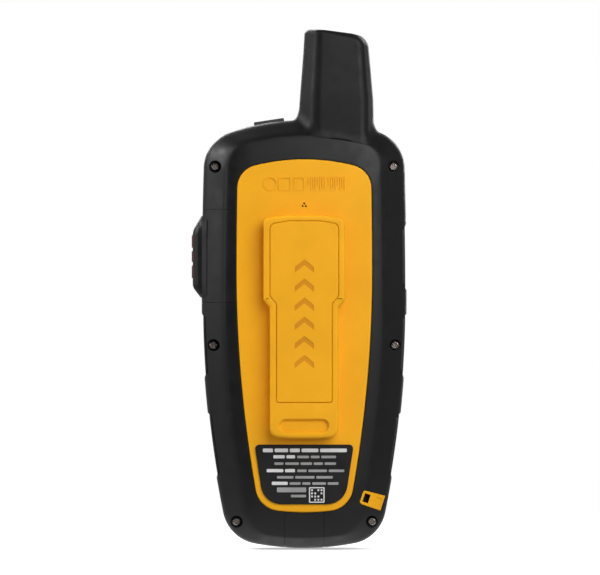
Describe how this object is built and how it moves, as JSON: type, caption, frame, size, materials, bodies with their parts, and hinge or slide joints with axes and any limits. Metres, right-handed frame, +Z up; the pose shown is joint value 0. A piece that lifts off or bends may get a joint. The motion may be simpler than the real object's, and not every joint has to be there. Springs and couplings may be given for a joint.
{
  "type": "handheld emergency position beacon",
  "caption": "Handheld satellite distress beacon: black waisted case, stub antenna, amber back plate with mounting spine, guarded SOS key, display and keys on the front.",
  "frame": {"origin": "middle of the whole bounding box in plan, at the lowest point of the case", "axes": "+Z up along the case towards the antenna tip, +Y out of the back with the mounting spine, -Y out of the display"},
  "size_m": [0.068, 0.038, 0.1638],
  "materials": {
    "case_black": "satin moulded polycarbonate with a soft-touch fine texture",
    "case_yellow": "fine-textured amber yellow moulded plastic",
    "cap_yellow": "soft amber yellow elastomer",
    "label_black": "printed black polyester film",
    "label_grey": "light grey print",
    "white_silicone": "translucent white silicone",
    "grip_rubber": "matte textured elastomer",
    "dark_steel": "black-plated steel",
    "brass": "machined brass",
    "lens": "hard-coated smoked window",
    "display": "reflective liquid crystal panel",
    "steel": "tinned steel",
    "led_plastic": "clear resin",
    "board_green": "solder-masked laminate",
    "ceramic": "pale dielectric ceramic",
    "dark_plastic": "glass-filled nylon",
    "battery_wrap": "blue shrink wrap",
    "foam": "closed-cell foam",
    "copper": "bare copper strip",
    "cable_brown": "thin coaxial cable jacket",
    "red_plastic": "signal red plastic",
    "key_black": "satin black key rubber"
  },
  "bodies": {
    "case": {"front_housing": "case_black", "rear_housing": "case_black", "antenna_cover": "case_black", "back_plate": "case_yellow", "mounting_spine": "case_yellow", "spine_inlay": "case_yellow", "rating_label": "label_black", "label_bars": "label_grey", "vent_membrane": "white_silicone", "sos_bezel": "case_black", "bottom_insert": "case_black", "side_grips": "grip_rubber", "housing_gasket": "grip_rubber", "case_screws": "dark_steel", "threaded_inserts": "brass", "display_lens": "lens", "lens_adhesive": "grip_rubber", "display_panel": "display", "display_frame": "steel", "keypad_mat": "white_silicone", "dome_switches": "steel", "light_pipe": "white_silicone", "status_led": "led_plastic", "main_board": "board_green", "board_screws": "steel", "rf_shield": "steel", "satellite_modem": "steel", "gps_antenna": "ceramic", "battery_tray": "dark_plastic", "battery_pack": "battery_wrap", "battery_foam": "foam", "buzzer": "dark_plastic", "usb_socket": "steel", "power_switch": "dark_plastic", "sos_switch": "dark_plastic", "antenna_former": "ceramic", "antenna_winding": "copper", "antenna_coax": "cable_brown", "sos_hinge_pin": "steel", "usb_cap_anchor": "cap_yellow"},
    "sos_cover": {"sos_cover": "case_black", "sos_cover_ridges": "red_plastic"},
    "sos_button": {"sos_button": "red_plastic"},
    "power_button": {"power_button": "key_black"},
    "dpad_rocker": {"dpad_rocker": "dark_plastic"},
    "dpad_key": {"dpad_key": "key_black"},
    "cancel_key": {"cancel_key": "key_black"},
    "confirm_key": {"confirm_key": "key_black"},
    "usb_cap": {"usb_cap": "cap_yellow"}
  },
  "joints": [
    {"name": "sos_cover_hinge", "type": "hinge", "parent": "case", "child": "sos_cover", "pos_m": [0.03212, -0.00715, 0.092], "axis": [0, 0, -1], "range_deg": [0, 100]},
    {"name": "sos_button_press", "type": "slide", "parent": "case", "child": "sos_button", "axis": [-1, 0, 0], "range_m": [0, 0.0008]},
    {"name": "power_button_press", "type": "slide", "parent": "case", "child": "power_button", "axis": [-0.1478, 0, -0.989], "range_m": [0, 0.0006]},
    {"name": "dpad_tip_up_down", "type": "hinge", "parent": "case", "child": "dpad_rocker", "pos_m": [-0.00158, -0.0162, 0.038], "axis": [1, 0, 0], "range_deg": [-3, 3]},
    {"name": "dpad_tip_left_right", "type": "hinge", "parent": "dpad_rocker", "child": "dpad_key", "pos_m": [-0.00158, -0.0162, 0.038], "axis": [0, 0, 1], "range_deg": [-3, 3]},
    {"name": "cancel_key_press", "type": "slide", "parent": "case", "child": "cancel_key", "axis": [0, 1, 0], "range_m": [0, 0.0006]},
    {"name": "confirm_key_press", "type": "slide", "parent": "case", "child": "confirm_key", "axis": [0, 1, 0], "range_m": [0, 0.0006]},
    {"name": "usb_cap_hinge", "type": "hinge", "parent": "case", "child": "usb_cap", "pos_m": [-0.02748, 0.0021, 0.0139], "axis": [0.309, 0, -0.9511], "range_deg": [0, 90]}
  ]
}
